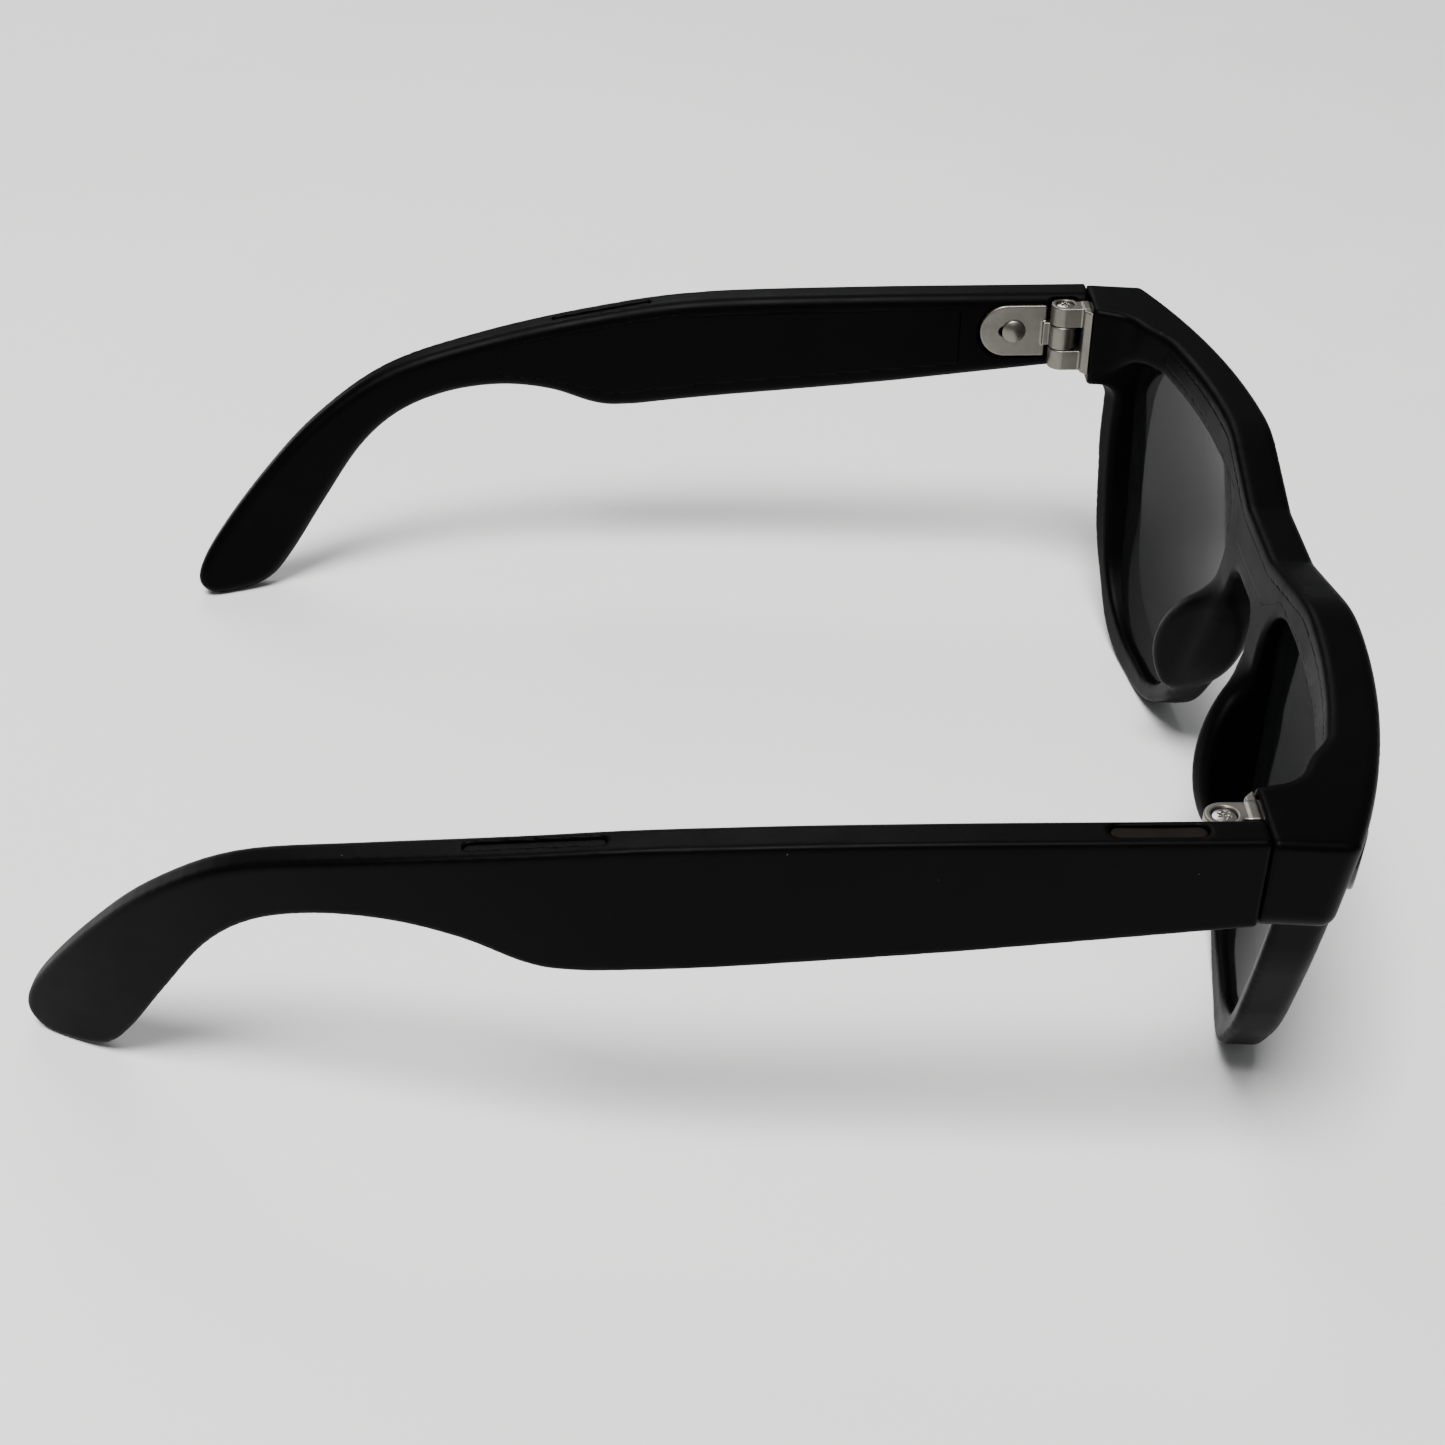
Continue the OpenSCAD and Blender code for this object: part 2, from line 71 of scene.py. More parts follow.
BROW_Z = 53.0
BRIDGE_Z = 40.5
FRONT_DEPTH = 6.2
FLAT_HALF = 22.0
WRAP_RADIUS = 120.0
FACE_TILT = math.radians(4.0)
BACK_TILT = math.radians(3.2)
FACE_Y = -20.5
HALF_WIDTH = cad_box[1].x / MM
ARM_THICKNESS = 5.0
BEND_START = 55.0
OUTER_BEND_R = 221.7
INNER_BEND_R = 231.2
ARM_WALL = 1.1
COVER_THICKNESS = 1.0
HINGE_ALONG = 4.0
KNUCKLE_R = 2.2
GAP = 0.1
SEAM_GAP = 0.15

INNER_X = HALF_WIDTH - ARM_THICKNESS
BEND_SIDE = HALF_WIDTH - OUTER_BEND_R

# Sideways, height, corner radius
FRONT_HALF = [
    (7, 49.3, 6), (24, BROW_Z, 40), (HALF_WIDTH, BROW_Z, 0.9), (HALF_WIDTH, 41.5, 2.5),
    (66.8, 39.2, 5), (65.2, 30.0, 40), (60.0, 14.5, 30), (48.7, 0, 15), (30.8, 0, 22),
    (19.4, 8.4, 18), (12.0, 19.5, 25), (8.2, 30.0, 12), (5.5, BRIDGE_Z, 3),
]
LENS_OPENING = [
    (11.0, 47.0, 8), (63.2, 47.5, 8.5), (61.4, 29.5, 60), (51.4, 4.2, 18), (27.3, 4.2, 15),
    (14.9, 20.5, 45),
]
COVER_HALF = [
    (7.0, 47.6, 1.5), (24.0, 51.3, 4), (60.0, 51.7, 0.8), (60.0, 49.2, 0.8), (15.5, 47.6, 2),
    (9.0, 43.1, 1.5),
]
# Sideways, distance behind the seam, corner radius
END_BLOCK = [
    (54, -8.9, 6), (60.3, -5.5, 6), (62.2, 0, 2), (64.0, 5, 1), (84, 5, 1), (84, -18, 1), (54, -18, 1),
]
# The hinge's front plate, seen from above: sideways, distance behind the seam, corner radius
FRONT_PLATE = [(61.9, 0.02, 0.2), (67.2, 0.02, 0.2), (67.2, 1.3, 0.2), (63.3, 1.3, 0.8)]
# Along the arm, height from its top edge
ARM_POINTS = [
    (31, 0), (61.3, -0.5), (79.3, -2.3), (98.3, -5.3), (113.3, -9.0), (125, -16.0), (134.4, -24.7),
    (142.8, -34.4), (146, -40.2), (144.6, -43.5), (140.7, -44.2), (135.4, -43.1),
    (131.2, -38.9), (125.2, -30.6), (118.4, -21.7), (111.8, -16.5), (104, -13.9), (95.3, -13.4),
    (87.3, -14.9), (80.3, -17.8), (75.3, -18.5), (66.3, -18.0), (31, -15.2),
]
# Along the arm, height, corner radius
HOLLOW = [
    (20, -1.7, 1.2), (67, -2.4, 40), (94, -5.9, 1.5), (96, -11.6, 1.5), (87, -13.2, 8),
    (77, -16.3, 6), (20, -12.0, 1.2),
]

# ---- Outlines and fields ----

ARC_STEPS = 14


def rounded(corners):
    """The closed outline of these corners, each rounded to its own radius."""
    points = []
    for i, (*here, radius) in enumerate(corners):
        b = np.array(here, float)
        u = np.array(corners[i - 1][:2], float) - b
        v = np.array(corners[(i + 1) % len(corners)][:2], float) - b
        u, v = u / np.linalg.norm(u), v / np.linalg.norm(v)
        half = math.acos(np.clip(u @ v, -1, 1)) / 2
        middle = (u + v) / np.linalg.norm(u + v)
        centre = b + middle * radius / math.sin(half)
        first, last = b + u * radius / math.tan(half) - centre, b + v * radius / math.tan(half) - centre
        start = math.atan2(first[1], first[0])
        sweep = (math.atan2(last[1], last[0]) - start + math.pi) % (2 * math.pi) - math.pi
        for k in range(ARC_STEPS + 1):
            angle = start + sweep * k / ARC_STEPS
            points.append(centre + radius * np.array([math.cos(angle), math.sin(angle)]))
    return np.array(points)


def both_halves(corners):
    return list(corners) + [(-x, z, r) for x, z, r in reversed(corners)]


def smooth(points, steps=6):
    """A smooth curve through the points, without the first and the last."""
    p = np.array(points, float)
    t = (np.arange(steps) / steps)[:, None]
    spans = [
        0.5 * (2 * b + (c - a) * t + (2 * a - 5 * b + 4 * c - d) * t**2 + (3 * b - a - 3 * c + d) * t**3)
        for a, b, c, d in zip(p[:-3], p[1:-2], p[2:-1], p[3:])
    ]
    return np.concatenate(spans)


class Outline:
    """A closed outline. Calling it gives the signed distance to it, below 0 inside."""

    def __init__(self, points):
        self.a = np.asarray(points, float)
        self.b = np.roll(self.a, -1, 0)

    def __call__(self, u, v):
        u, v = np.broadcast_arrays(u, v)
        shape = u.shape
        u, v = u.ravel(), v.ravel()
        nearest = np.full(u.shape, 1e9)
        inside = np.zeros(u.shape, bool)
        for (ax, ay), (bx, by) in zip(self.a, self.b):
            dx, dy = bx - ax, by - ay
            length2 = dx * dx + dy * dy
            if length2 < 1e-12:
                continue
            t = np.clip(((u - ax) * dx + (v - ay) * dy) / length2, 0, 1)
            nearest = np.minimum(nearest, (u - ax - t * dx) ** 2 + (v - ay - t * dy) ** 2)
            if ay != by:
                crosses = (ay > v) != (by > v)
                inside ^= crosses & (u < ax + (v - ay) * dx / dy)
        distance = np.sqrt(nearest)
        return np.where(inside, -distance, distance).reshape(shape)


front_outline = Outline(rounded(both_halves(FRONT_HALF)))
lens_outline = Outline(rounded(LENS_OPENING))
cover_outline = Outline(rounded(both_halves(COVER_HALF)))
end_outline = Outline(rounded(END_BLOCK))
plate_outline = Outline(rounded(FRONT_PLATE))
hollow_outline = Outline(rounded(HOLLOW))
# The arm runs on past the seam here, because the seam is cut as a plane of its own
arm_outline = Outline(
    np.concatenate([
        [(-6, -11.3), (-6, 0)],
        smooth([(0, 0), *ARM_POINTS, (0, -11.8)]),
        [ARM_POINTS[-1]],
    ])
)


def both(a, b, r=0.0):
    """Inside both fields, with the edge between them rounded to radius r."""
    if r == 0:
        return np.maximum(a, b)
    return np.minimum(np.maximum(a, b), -r) + np.hypot(np.maximum(a + r, 0), np.maximum(b + r, 0))


def either(a, b, r=0.0):
    """Inside either field, with the corner between them filled to radius r."""
    return -both(-a, -b, r)


def without(a, b, r=0.0):
    return both(a, -b, r)


def box(x, y, z, low, high):
    """A block between two corners."""
    d = np.maximum(low[0] - x, x - high[0])
    d = np.maximum(d, np.maximum(low[1] - y, y - high[1]))
    return np.maximum(d, np.maximum(low[2] - z, z - high[2]))


def pill(x, y, reach):
    """Distance from the middle line of an upright slot, long in y."""
    return np.hypot(x, y - np.clip(y, -reach, reach))


def between(z, low, high):
    return np.maximum(low - z, z - high)


def wrapped(x, y, z, depth, tilt):
    """The surface behind the front's wrapped face: below 0 behind it."""
    radius = WRAP_RADIUS - depth
    side = np.maximum(np.abs(x) - FLAT_HALF, 0)
    lean = y * math.cos(tilt) + (z - BROW_Z) * math.sin(tilt)
    return np.hypot(side, lean - (FACE_Y + depth + radius)) - radius


# ---- Frames of reference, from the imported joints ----

left_fold = next(j for j in frame["joints"] if j["name"] == "left_temple_fold")
UP = np.array(left_fold["axis"], float)
SLOPE = math.atan2(UP[1], UP[2])
ALONG = np.array([0, math.cos(SLOPE), -math.sin(SLOPE)])
hinge_point = np.array(left_fold["pos_m"], float) / MM
HINGE_X = hinge_point[0]
seam_point = hinge_point * [0, 1, 1] - ALONG * HINGE_ALONG

GLASSES = Matrix.Translation(Vector((0, seam_point[1], 0)))
ARM = Matrix.Translation(Vector(seam_point)) @ Matrix.Rotation(-SLOPE, 4, "X")
OTHER_SIDE = Matrix.Diagonal((-1, 1, 1, 1))

RING_X = 66.8
RING_Z = 47.1
RING_TURN = math.asin((RING_X - FLAT_HALF) / WRAP_RADIUS)
RING_Y = FACE_Y + WRAP_RADIUS * (1 - math.cos(RING_TURN)) + (BROW_Z - RING_Z) * math.tan(FACE_TILT)
RING = (
    Matrix.Translation(Vector((RING_X, seam_point[1] + RING_Y, RING_Z)))
    @ Matrix.Rotation(RING_TURN, 4, "Z")
    @ Matrix.Rotation(math.pi / 2, 4, "X")
)


def moved(matrix, x, y, z):
    """Coordinates after a 4x4 matrix."""
    m = np.array(matrix)
    return tuple(m[i, 0] * x + m[i, 1] * y + m[i, 2] * z + m[i, 3] for i in range(3))


GLASSES_TO_ARM = ARM.inverted() @ GLASSES
GLASSES_TO_RING = RING.inverted() @ GLASSES


def on_arm(x, y, along):
    """Coordinates seen from a place on the arm, turned with its inward curve."""
    turn = math.asin((along - BEND_START) / OUTER_BEND_R)
    dx, dy = x - BEND_SIDE, y - BEND_START
    return (
        dx * math.cos(turn) + dy * math.sin(turn) - OUTER_BEND_R,
        -dx * math.sin(turn) + dy * math.cos(turn),
    )


# ---- Front ----

FACE_EDGE_R = 1.3
BACK_EDGE_R = 0.9
RIM_EDGE_R = 0.7
SEAM_EDGE_R = 0.3
PARTING_R = 0.12
# The covers fit so closely that their seams are hairlines
RIM_UNDER_COVER = 0.8
BED_END_X = 52.0
COVER_PROUD = 0.02
BED_DEPTH = 1.0
COVER_DEPTH = 0.98
END_PIECE_LOW_Z = 40.0
BEZEL_R, BEZEL_DEPTH, BEZEL_PROUD = 3.5, 1.15, 0.5
WINDOW_R = 2.5
BORE_DEPTH = 6.2
PAD_PLACE = (
    Matrix.Translation(Vector((13.3, -13.4, 24.0)))
    @ Matrix.Rotation(math.radians(-26), 4, "Z")
    @ Matrix.Rotation(math.radians(-17), 4, "Y")
    @ Matrix.Rotation(math.radians(21), 4, "X")
)
PAD_HALF_HEIGHT = 12.5
PAD_HALF_WIDE = 6.0
PAD_LOW, PAD_HIGH = -1.6, 2.0


def nose_rest(x, y, z):
    """Leaf-shaped nose rest, both sides."""
    px, py, pz = moved(PAD_PLACE.inverted(), np.abs(x), y, z)
    r = (PAD_HALF_HEIGHT**2 + PAD_HALF_WIDE**2) / (2 * PAD_HALF_WIDE)
    offset = r - PAD_HALF_WIDE
    leaf = both(np.hypot(py - offset, pz) - r, np.hypot(py + offset, pz) - r, 1.5)
    return both(leaf, between(px, PAD_LOW, PAD_HIGH), 1.3)


def hinge_pocket(x, y, z):
    """Room in the end piece for the foot of the hinge's front leaf."""
    ax, ay, az = moved(GLASSES_TO_ARM, np.abs(x), y, z)
    low = (FOOT_LOW_X - GAP, -FOOT_DEPTH - GAP, HINGE_LOW)
    return box(ax, ay, az, low, (FOOT_HIGH_X + GAP, 2, HINGE_TOP))


def ring_pocket(x, y, z):
    """Room for the round bezel, and behind it for the camera or the light."""
    rx, ry, rz = moved(GLASSES_TO_RING, np.abs(x), y, z)
    radius = np.hypot(rx, ry)
    seat = both(radius - BEZEL_R - 0.05, between(rz, -BEZEL_DEPTH - 0.05, 3))
    return either(seat, both(radius - WINDOW_R, between(rz, -BORE_DEPTH, 0)))


def moulded_front(x, y, z):
    """The whole moulding, before anything is let into it."""
    side = np.abs(x)
    back = -wrapped(x, y, z, FRONT_DEPTH, BACK_TILT)
    end = both(end_outline(side, y), END_PIECE_LOW_Z - z, 1.0)
    body = both(front_outline(x, z), wrapped(x, y, z, 0, FACE_TILT), FACE_EDGE_R)
    body = both(body, either(back, end, 3.0), BACK_EDGE_R)
    body = without(body, lens_outline(side, z), RIM_EDGE_R)
    body = either(body, nose_rest(x, y, z), 2.2)
    seam = moved(GLASSES_TO_ARM, side, y, z)[1]
    return both(body, seam, SEAM_EDGE_R)


def back_layer(x, y, z, low, high):
    """Between two depths behind the face, measured with the back's lean."""
    return both(wrapped(x, y, z, low, BACK_TILT), -wrapped(x, y, z, high, BACK_TILT))


def front_field(x, y, z):
    layer = back_layer(x, y, z, FRONT_DEPTH - BED_DEPTH, FRONT_DEPTH + 0.5)
    bed = both(cover_outline(x, z) + RIM_UNDER_COVER, layer)
    bed = both(bed, np.abs(x) - BED_END_X)
    body = without(moulded_front(x, y, z), bed)
    body = without(body, hinge_pocket(x, y, z), 0.15)
    return without(body, ring_pocket(x, y, z), 0.1)


def brow_cover_field(x, y, z):
    layer = back_layer(x, y, z, FRONT_DEPTH - COVER_DEPTH, FRONT_DEPTH + COVER_PROUD)
    return both(cover_outline(x, z) + GAP, layer, 0.05)


LENS_R = 112.0
LENS_MID_Z = 26.0
LENS_SET_BACK = 0.6
LENS_THICKNESS = 1.5
LENS_LET_IN = 0.6


def lens_field(x, y, z):
    """A lens curved both ways, let into the rim."""
    lean = y * math.cos(FACE_TILT) + (z - BROW_Z) * math.sin(FACE_TILT)
    height = -y * math.sin(FACE_TILT) + (z - BROW_Z) * math.cos(FACE_TILT) + BROW_Z - LENS_MID_Z
    depth = lean - FACE_Y - LENS_SET_BACK - LENS_R
    from_centre = np.sqrt((x - FLAT_HALF) ** 2 + depth**2 + height**2)
    shell = between(from_centre, LENS_R - LENS_THICKNESS, LENS_R)
    return both(lens_outline(x, z) - LENS_LET_IN, shell, 0.2)


# ---- Arms ----

OUTER_EDGE_R = 0.7
INNER_EDGE_R = 1.9
PLATE_START, PLATE_END = 6.6, 17.2
PLATE_LOW, PLATE_HIGH = -10.2, -1.6
PLATE_MID = (PLATE_LOW + PLATE_HIGH) / 2
PLATE_HALF = (PLATE_HIGH - PLATE_LOW) / 2
KNOB_ALONG = 11.8
BUTTON_X = HALF_WIDTH - 2.4
BUTTON_ALONG = 11.7
BUTTON_LENGTH, BUTTON_WIDTH = 10.4, 2.0
BUTTON_REACH = (BUTTON_LENGTH - BUTTON_WIDTH) / 2
SWITCH_TRAVEL = 1.5
HINGE_TOP, HINGE_LOW = -0.9, -11.4
FOOT_LOW_X, FOOT_HIGH_X = 63.6, 67.1
FOOT_DEPTH = 1.2
LEAF_LOW_X, LEAF_HIGH_X = 67.1, 68.3
PLATE_ROOM_X = (60, 68.4)
UPPER_SPLIT, LOWER_SPLIT = -4.1, -8.1
SLOT_ALONG, PORT_ALONG = 78.5, 76.0
SLOT_INSET = 2.4
SLOT_HALF_WIDE = 0.7
SLOT_REACH, PORT_REACH = 7.3, 3.3
SLOT_LOW_Z, PORT_HIGH_Z = -8, -12
BUTTON_LOW_Z = -3.3


def arm_faces(x, y):
    """Distances from the outer and the inner face, below 0 inside."""
    behind = np.maximum(y - BEND_START, 0)
    outer = np.hypot(x - BEND_SIDE, behind) - OUTER_BEND_R
    inner = INNER_BEND_R - np.hypot(x - INNER_X + INNER_BEND_R, behind)
    return outer, inner


def moulded_arm(x, y, z):
    """The whole arm, before anything is let into it."""
    outer, inner = arm_faces(x, y)
    body = both(both(arm_outline(y, z), outer, OUTER_EDGE_R), inner, INNER_EDGE_R)
    return both(body, SEAM_GAP - y, SEAM_EDGE_R)


def leaf_plate(x, y, z, low, high, grow):
    """The hinge plate on the arm's inner face, with its round rear end."""
    end = PLATE_END - PLATE_HALF
    flat = both(between(y, PLATE_START - grow, end), between(z, PLATE_LOW - grow, PLATE_HIGH + grow))
    shape = np.minimum(flat, np.hypot(y - end, z - PLATE_MID) - PLATE_HALF - grow)
    return both(shape, between(x, low, high))


def arm_field(x, y, z):
    outer, _ = arm_faces(x, y)
    hollow = both(hollow_outline(y, z) + RIM_UNDER_COVER, outer + ARM_WALL)
    body = without(moulded_arm(x, y, z), hollow, PARTING_R)
    sx, sy = on_arm(x, y, SLOT_ALONG)
    slot = both(pill(sx + SLOT_INSET, sy, SLOT_REACH) - SLOT_HALF_WIDE, SLOT_LOW_Z - z)
    px, py = on_arm(x, y, PORT_ALONG)
    port = both(pill(px + SLOT_INSET, py, PORT_REACH) - SLOT_HALF_WIDE, z - PORT_HIGH_Z)
    body = without(body, np.minimum(slot, port), 0.2)
    knuckle_room = both(np.hypot(x - HINGE_X, y - HINGE_ALONG) - KNUCKLE_R - 0.3, z + 0.6)
    low_x, high_x = PLATE_ROOM_X
    tongue_room = box(x, y, z, (low_x, HINGE_ALONG, LOWER_SPLIT), (high_x, PLATE_START, UPPER_SPLIT))
    plate_room = leaf_plate(x, y, z, low_x, high_x, GAP)
    return without(body, np.minimum(np.minimum(knuckle_room, tongue_room), plate_room), 0.15)


def left_arm_field(x, y, z):
    switch_room = box(x, y, z, (68, 9.2, PLATE_MID - 2.3), (70.9, 14.8, PLATE_MID + 2.3))
    return without(arm_field(x, y, z), switch_room)


def right_arm_field(x, y, z):
    well = pill(x - BUTTON_X, y - BUTTON_ALONG, BUTTON_REACH) - BUTTON_WIDTH / 2 - GAP
    return without(arm_field(x, y, z), both(well, BUTTON_LOW_Z - z), 0.3)


def arm_cover_field(x, y, z):
    _, inner = arm_faces(x, y)
    plate = both(hollow_outline(y, z) + GAP, -COVER_THICKNESS - inner, 0.2)
    return both(moulded_arm(x, y, z) - COVER_PROUD, plate, 0.05)


# ---- Hinges and controls ----


def knuckle(x, y, z, low, high, r=0.22):
    return both(np.hypot(x - HINGE_X, y - HINGE_ALONG) - KNUCKLE_R, between(z, low, high), r)


def soft_box(x, y, z, low, high, r):
    d = both(between(x, low[0], high[0]), between(y, low[1], high[1]), r)
    return both(d, between(z, low[2], high[2]), r)


def front_leaf_field(x, y, z):
    foot = box(x, y, z, (FOOT_LOW_X, -FOOT_DEPTH, HINGE_LOW + GAP), (FOOT_HIGH_X, 0.2, HINGE_TOP - GAP))
    body = np.minimum(foot, both(plate_outline(x, y), between(z, HINGE_LOW, HINGE_TOP), 0.22))
    for low, high in ((UPPER_SPLIT, HINGE_TOP), (HINGE_LOW, LOWER_SPLIT)):
        neck = soft_box(x, y, z, (64.1, 0.2, low), (67.2, HINGE_ALONG, high), 0.22)
        body = either(body, either(neck, knuckle(x, y, z, low, high)), 0.3)
    bore = np.hypot(x - HINGE_X, y - HINGE_ALONG)
    body = without(body, bore - 0.73)
    return without(body, both(bore - 1.45, HINGE_TOP - 0.85 - z), 0.12)


def arm_leaf_field(x, y, z):
    flat = both(between(y, PLATE_START, PLATE_END - PLATE_HALF), between(z, PLATE_LOW, PLATE_HIGH), 0.4)
    disc = np.hypot(y - PLATE_END + PLATE_HALF, z - PLATE_MID) - PLATE_HALF
    body = both(np.minimum(flat, disc), between(x, LEAF_LOW_X, LEAF_HIGH_X), 0.3)
    low, high = LOWER_SPLIT + GAP, UPPER_SPLIT - GAP
    tongue = soft_box(x, y, z, (66.4, HINGE_ALONG, low), (LEAF_HIGH_X, PLATE_START + 0.6, high), 0.2)
    body = either(body, either(tongue, knuckle(x, y, z, low, high)), 0.4)
    return without(body, np.hypot(x - HINGE_X, y - HINGE_ALONG) - 0.75)


def left_arm_leaf_field(x, y, z):
    middle = KNOB_ALONG + SWITCH_TRAVEL / 2
    slot = pill(z - PLATE_MID, y - middle, SWITCH_TRAVEL / 2) - 0.85
    return without(arm_leaf_field(x, y, z), slot, 0.12)


def screw_field(x, y, z):
    """Hinge screw with a domed head and a six-lobed drive."""
    dx, dy = x - HINGE_X, y - HINGE_ALONG
    radius, angle = np.hypot(dx, dy), np.arctan2(dy, dx)
    top = HINGE_TOP - 0.06
    dome = np.sqrt(radius**2 + (z - top + 4.0) ** 2) - 4.0
    head = both(both(radius - 1.4, dome, 0.12), HINGE_TOP - 0.82 - z)
    shank = both(radius - 0.7, between(z, HINGE_LOW + 0.3, HINGE_TOP - 0.6))
    drive = both(radius - 0.62 - 0.13 * np.cos(6 * angle), HINGE_TOP - 0.55 - z)
    return without(np.minimum(head, shank), drive, 0.05)


def button_field(x, y, z):
    """Capture button, with a slightly dished top."""
    edge = pill(x - BUTTON_X, y - BUTTON_ALONG, BUTTON_REACH) - BUTTON_WIDTH / 2
    dish = 0.08 * np.cos(np.clip((y - BUTTON_ALONG) / BUTTON_LENGTH, -0.5, 0.5) * math.pi)
    return both(edge, between(z, -1.7, -0.35 - dish), 0.3)


def knob_field(x, y, z):
    """Power switch's domed knob and its stem."""
    dy, dz = y - KNOB_ALONG, z - PLATE_MID
    radius = np.hypot(dy, dz)
    dome = np.sqrt((x - 69.2) ** 2 + radius**2) - 3.0
    cap = both(both(radius - 2.0, dome, 0.25), between(x, 66.0, 67.05), 0.15)
    return np.minimum(cap, both(radius - 0.7, between(x, 66.9, 68.8)))


def bezel_field(x, y, z):
    radius = np.hypot(x, y)
    ring = both(both(radius - BEZEL_R, between(z, -BEZEL_DEPTH, BEZEL_PROUD), 0.35), WINDOW_R - radius)
    return without(ring, radius - WINDOW_R - (z + 0.05), 0.1)


WINDOW_DOME_R = 12.0
WINDOW_PROUD = 0.3


def window_field(x, y, z):
    """A window that bulges a little."""
    radius = np.hypot(x, y)
    dome = np.sqrt(radius**2 + (z + WINDOW_DOME_R - WINDOW_PROUD) ** 2) - WINDOW_DOME_R
    return both(both(radius - WINDOW_R + 0.05, dome, 0.15), -0.5 - z)


CONTACT_X = 2.0
CONTACT_R = 0.8
CONTACT_FROM_BACK = 2.3
CONTACT_HEIGHT = 1.4


def contacts_field(x, y, z):
    """Two charging contacts that end level with the bridge's underside."""
    radius = np.hypot(np.abs(x) - CONTACT_X, y - FACE_Y - FRONT_DEPTH + CONTACT_FROM_BACK)
    return both(radius - CONTACT_R, between(z, BRIDGE_Z - 0.08, BRIDGE_Z + CONTACT_HEIGHT), 0.15)


# ---- From field to mesh ----


def lattice(field, low, high, pitch):
    """Points and quads of the field's surface: one point in each cell that the surface crosses."""
    axes = [np.arange(l - 3 * pitch, h + 3.5 * pitch, pitch) for l, h in zip(low, high)]
    shape = tuple(len(a) for a in axes)
    x, y, z = axes[0][:, None, None], axes[1][None, :, None], axes[2][None, None, :]
    values = np.broadcast_to(field(x, y, z), shape)
    inside = values < 0
    count = np.zeros([n - 1 for n in shape], np.int8)
    corners = list(itertools.product((0, 1), repeat=3))
    for i, j, k in corners:
        count += inside[i:shape[0] - 1 + i, j:shape[1] - 1 + j, k:shape[2] - 1 + k]
    mixed = (count > 0) & (count < 8)
    cells = np.argwhere(mixed)
    number = np.full(mixed.shape, -1, np.int64)
    number[mixed] = np.arange(len(cells))
    total, crossings = np.zeros((len(cells), 3)), np.zeros(len(cells))
    for axis in range(3):
        step = np.eye(3, dtype=int)[axis]
        for corner in (np.array(c) for c in corners if c[axis] == 0):
            a, b = cells + corner, cells + corner + step
            va, vb = values[tuple(a.T)], values[tuple(b.T)]
            hit = (va < 0) != (vb < 0)
            share = va[hit] / (va[hit] - vb[hit])
            total[hit] += a[hit] + share[:, None] * step
            crossings[hit] += 1
    points = total / crossings[:, None] * pitch + [a[0] for a in axes]
    quads = []
    for axis in range(3):
        u, v = (axis + 1) % 3, (axis + 2) % 3
        one, two = [slice(None)] * 3, [slice(None)] * 3
        one[axis], two[axis] = slice(0, -1), slice(1, None)
        edges = np.argwhere(inside[tuple(one)] != inside[tuple(two)])
        outwards = inside[tuple(edges.T)]
        ring = []
        for du, dv in ((-1, -1), (0, -1), (0, 0), (-1, 0)):
            cell = edges.copy()
            cell[:, u] += du
            cell[:, v] += dv
            ring.append(number[tuple(cell.T)])
        ring = np.stack(ring, 1)
        ring[~outwards] = ring[~outwards][:, ::-1]
        quads.append(ring)
    return points, np.concatenate(quads)


def settle(field, points, pitch, rounds=3):
    """Moves the points onto the field's surface."""
    h = 0.02 * pitch
    for _ in range(rounds):
        x, y, z = points.T
        here = field(x, y, z)
        ahead = np.stack([field(x + h, y, z), field(x, y + h, z), field(x, y, z + h)], 1)
        slope = (ahead - here[:, None]) / h
        steep = np.maximum((slope**2).sum(1), 0.3)
        step = np.clip((here / steep)[:, None] * slope, -0.4 * pitch, 0.4 * pitch)
        points = points - step
    return points


def body_of_node(node):
    return next(b for b, members in frame["record"]["behaviour"]["bodies"].items() if node in members)


slot_of = {row["node"]: row["material_slot"] for row in frame["record"]["subparts"]}


def make(node, field, pitch, place):
    """A smooth mesh that stands for one CAD node, riding on that node's body."""
    name = node + "_shape"
    to_local = np.array(place.inverted())
    world = np.array([v.co for v in nodes[node].data.vertices]) / MM
    local = world @ to_local[:3, :3].T + to_local[:3, 3]
    points, quads = lattice(field, local.min(0), local.max(0), pitch)
    points = settle(field, points, pitch)
    m = np.array(place)
    points = (points @ m[:3, :3].T + m[:3, 3]) * MM
    if place.determinant() < 0:
        quads = quads[:, ::-1]
    mesh = bpy.data.meshes.new(name)
    mesh.from_pydata(points.tolist(), [], quads.tolist())
    mesh.polygons.foreach_set("use_smooth", np.ones(len(mesh.polygons), bool))
    mesh.materials.append(materials[slot_of[node]])
    mesh.update()
    piece = bpy.data.objects.new(name, mesh)
    bpy.context.scene.collection.objects.link(piece)
    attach(piece, body_of_node(node))
    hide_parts(node)


# ---- Materials ----


